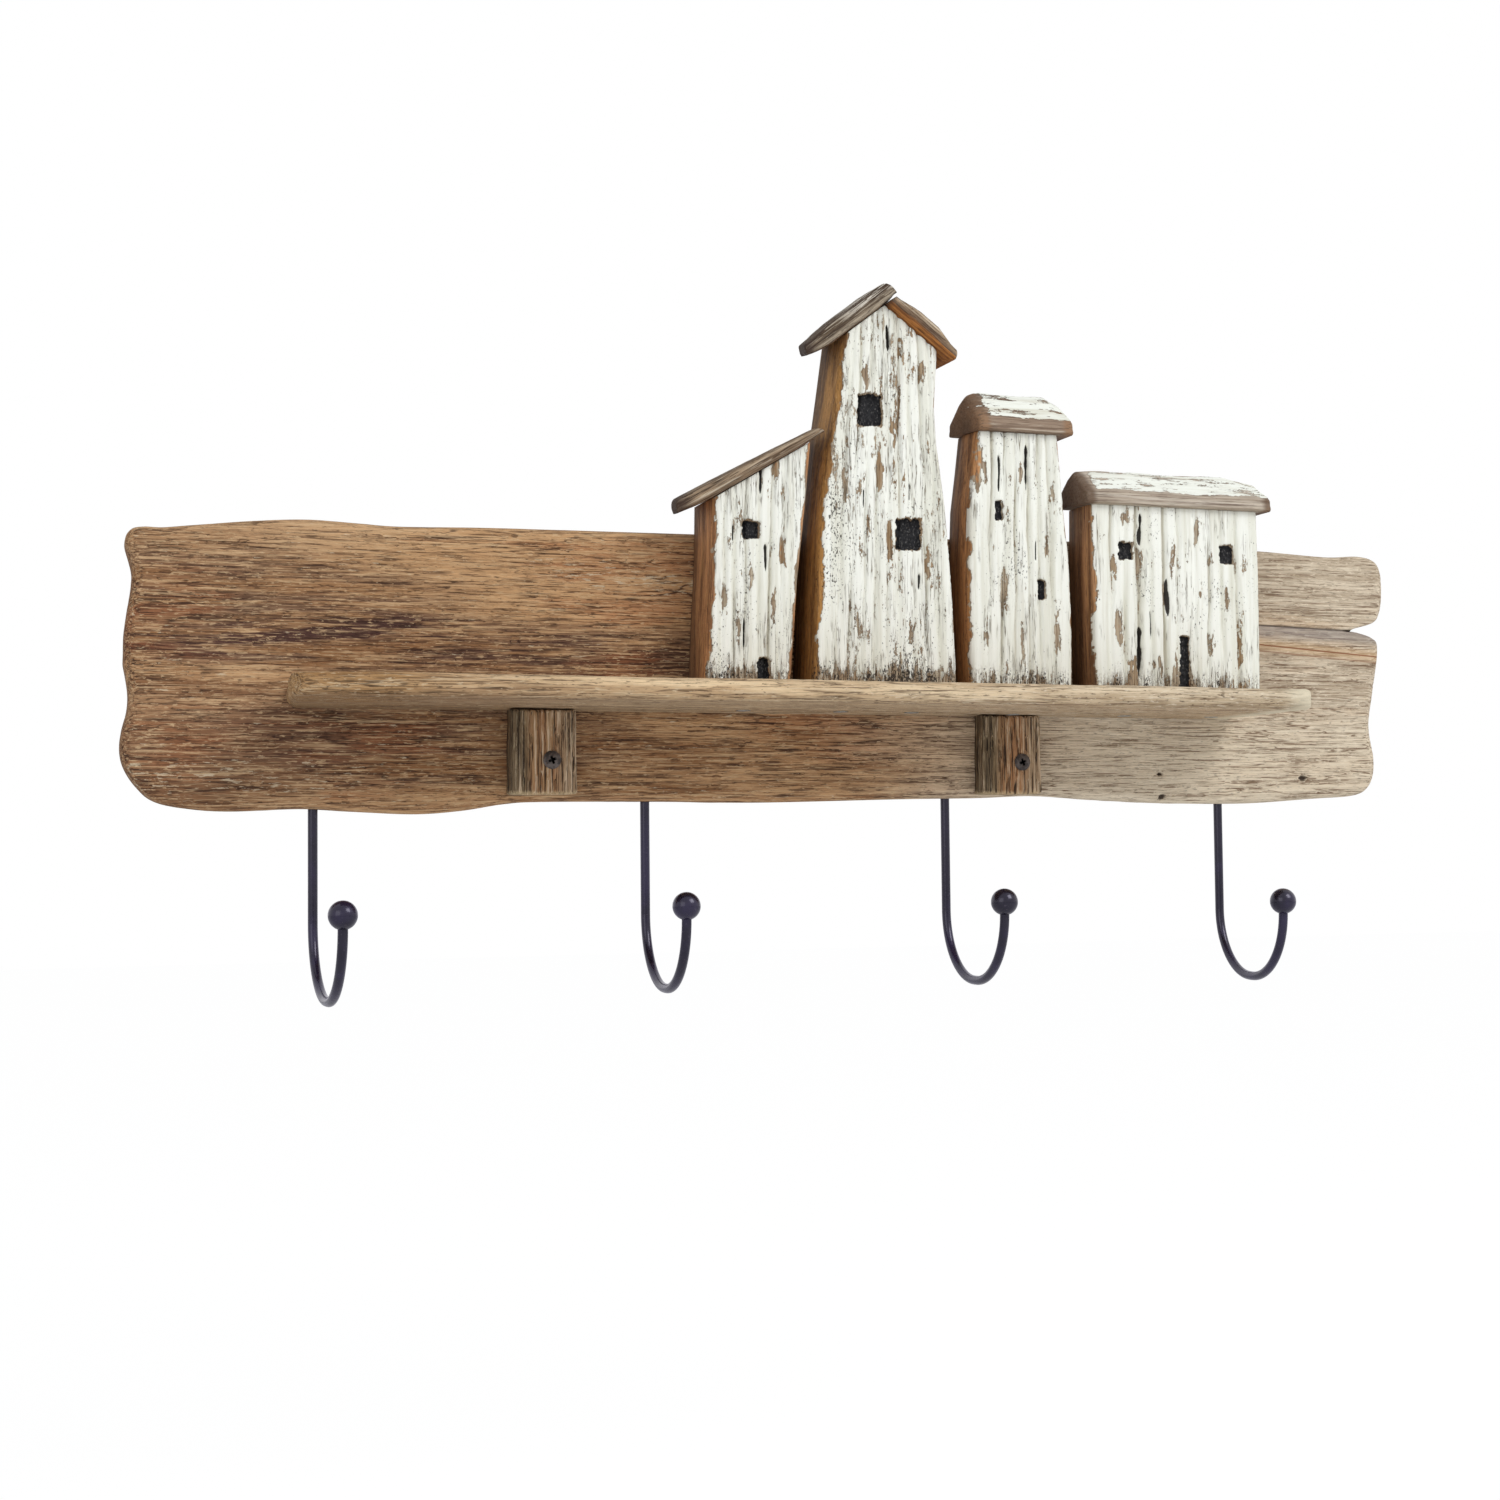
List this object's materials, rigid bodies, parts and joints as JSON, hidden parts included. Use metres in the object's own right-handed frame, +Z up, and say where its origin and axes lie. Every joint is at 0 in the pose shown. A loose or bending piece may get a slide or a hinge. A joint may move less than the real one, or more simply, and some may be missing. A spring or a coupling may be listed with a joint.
{
  "type": "wall key holder",
  "caption": "Driftwood wall board with a shelf, carved painted house blocks and iron rod hooks with ball ends for keys.",
  "frame": {"origin": "middle of the board's back face, on the wall, half way up the board", "axes": "+X along the board to the viewer's right, +Y into the wall, +Z up; the front looks along -Y"},
  "size_m": [0.652, 0.0947, 0.3385],
  "materials": {
    "driftwood": "weathered bare driftwood",
    "shelf_wood": "weathered bare driftwood, paler",
    "block_wood": "rough weathered wood, upright grain",
    "painted_house": "chipped off-white paint on bare sides",
    "roof_wood": "grey-brown weathered wood",
    "painted_roof": "worn off-white paint over wood",
    "black_iron": "satin black",
    "dark_screw": "dull black oxide",
    "zinc": "zinc plated"
  },
  "bodies": {
    "root": {"back_board": "driftwood", "shelf": "shelf_wood", "bracket_block_left": "block_wood", "bracket_block_right": "block_wood", "bracket_screw_left": "dark_screw", "bracket_screw_right": "dark_screw", "hook_rod_1": "black_iron", "hook_rod_2": "black_iron", "hook_rod_3": "black_iron", "hook_rod_4": "black_iron", "hook_ball_1": "black_iron", "hook_ball_2": "black_iron", "hook_ball_3": "black_iron", "hook_ball_4": "black_iron", "lean_to_house": "painted_house", "lean_to_roof": "roof_wood", "tower_house": "painted_house", "tower_roof_left": "roof_wood", "tower_roof_right": "roof_wood", "narrow_house": "painted_house", "narrow_roof": "painted_roof", "low_house": "painted_house", "low_roof": "painted_roof", "shelf_screw_1": "zinc", "shelf_screw_2": "zinc", "shelf_screw_3": "zinc", "house_screw_1": "zinc", "house_screw_2": "zinc", "house_screw_3": "zinc", "house_screw_4": "zinc", "house_screw_5": "zinc", "house_screw_6": "zinc", "keyhole_plate_left": "zinc", "keyhole_plate_right": "zinc", "plate_screw_1": "zinc", "plate_screw_2": "zinc", "plate_screw_3": "zinc", "plate_screw_4": "zinc"}
  },
  "joints": []
}
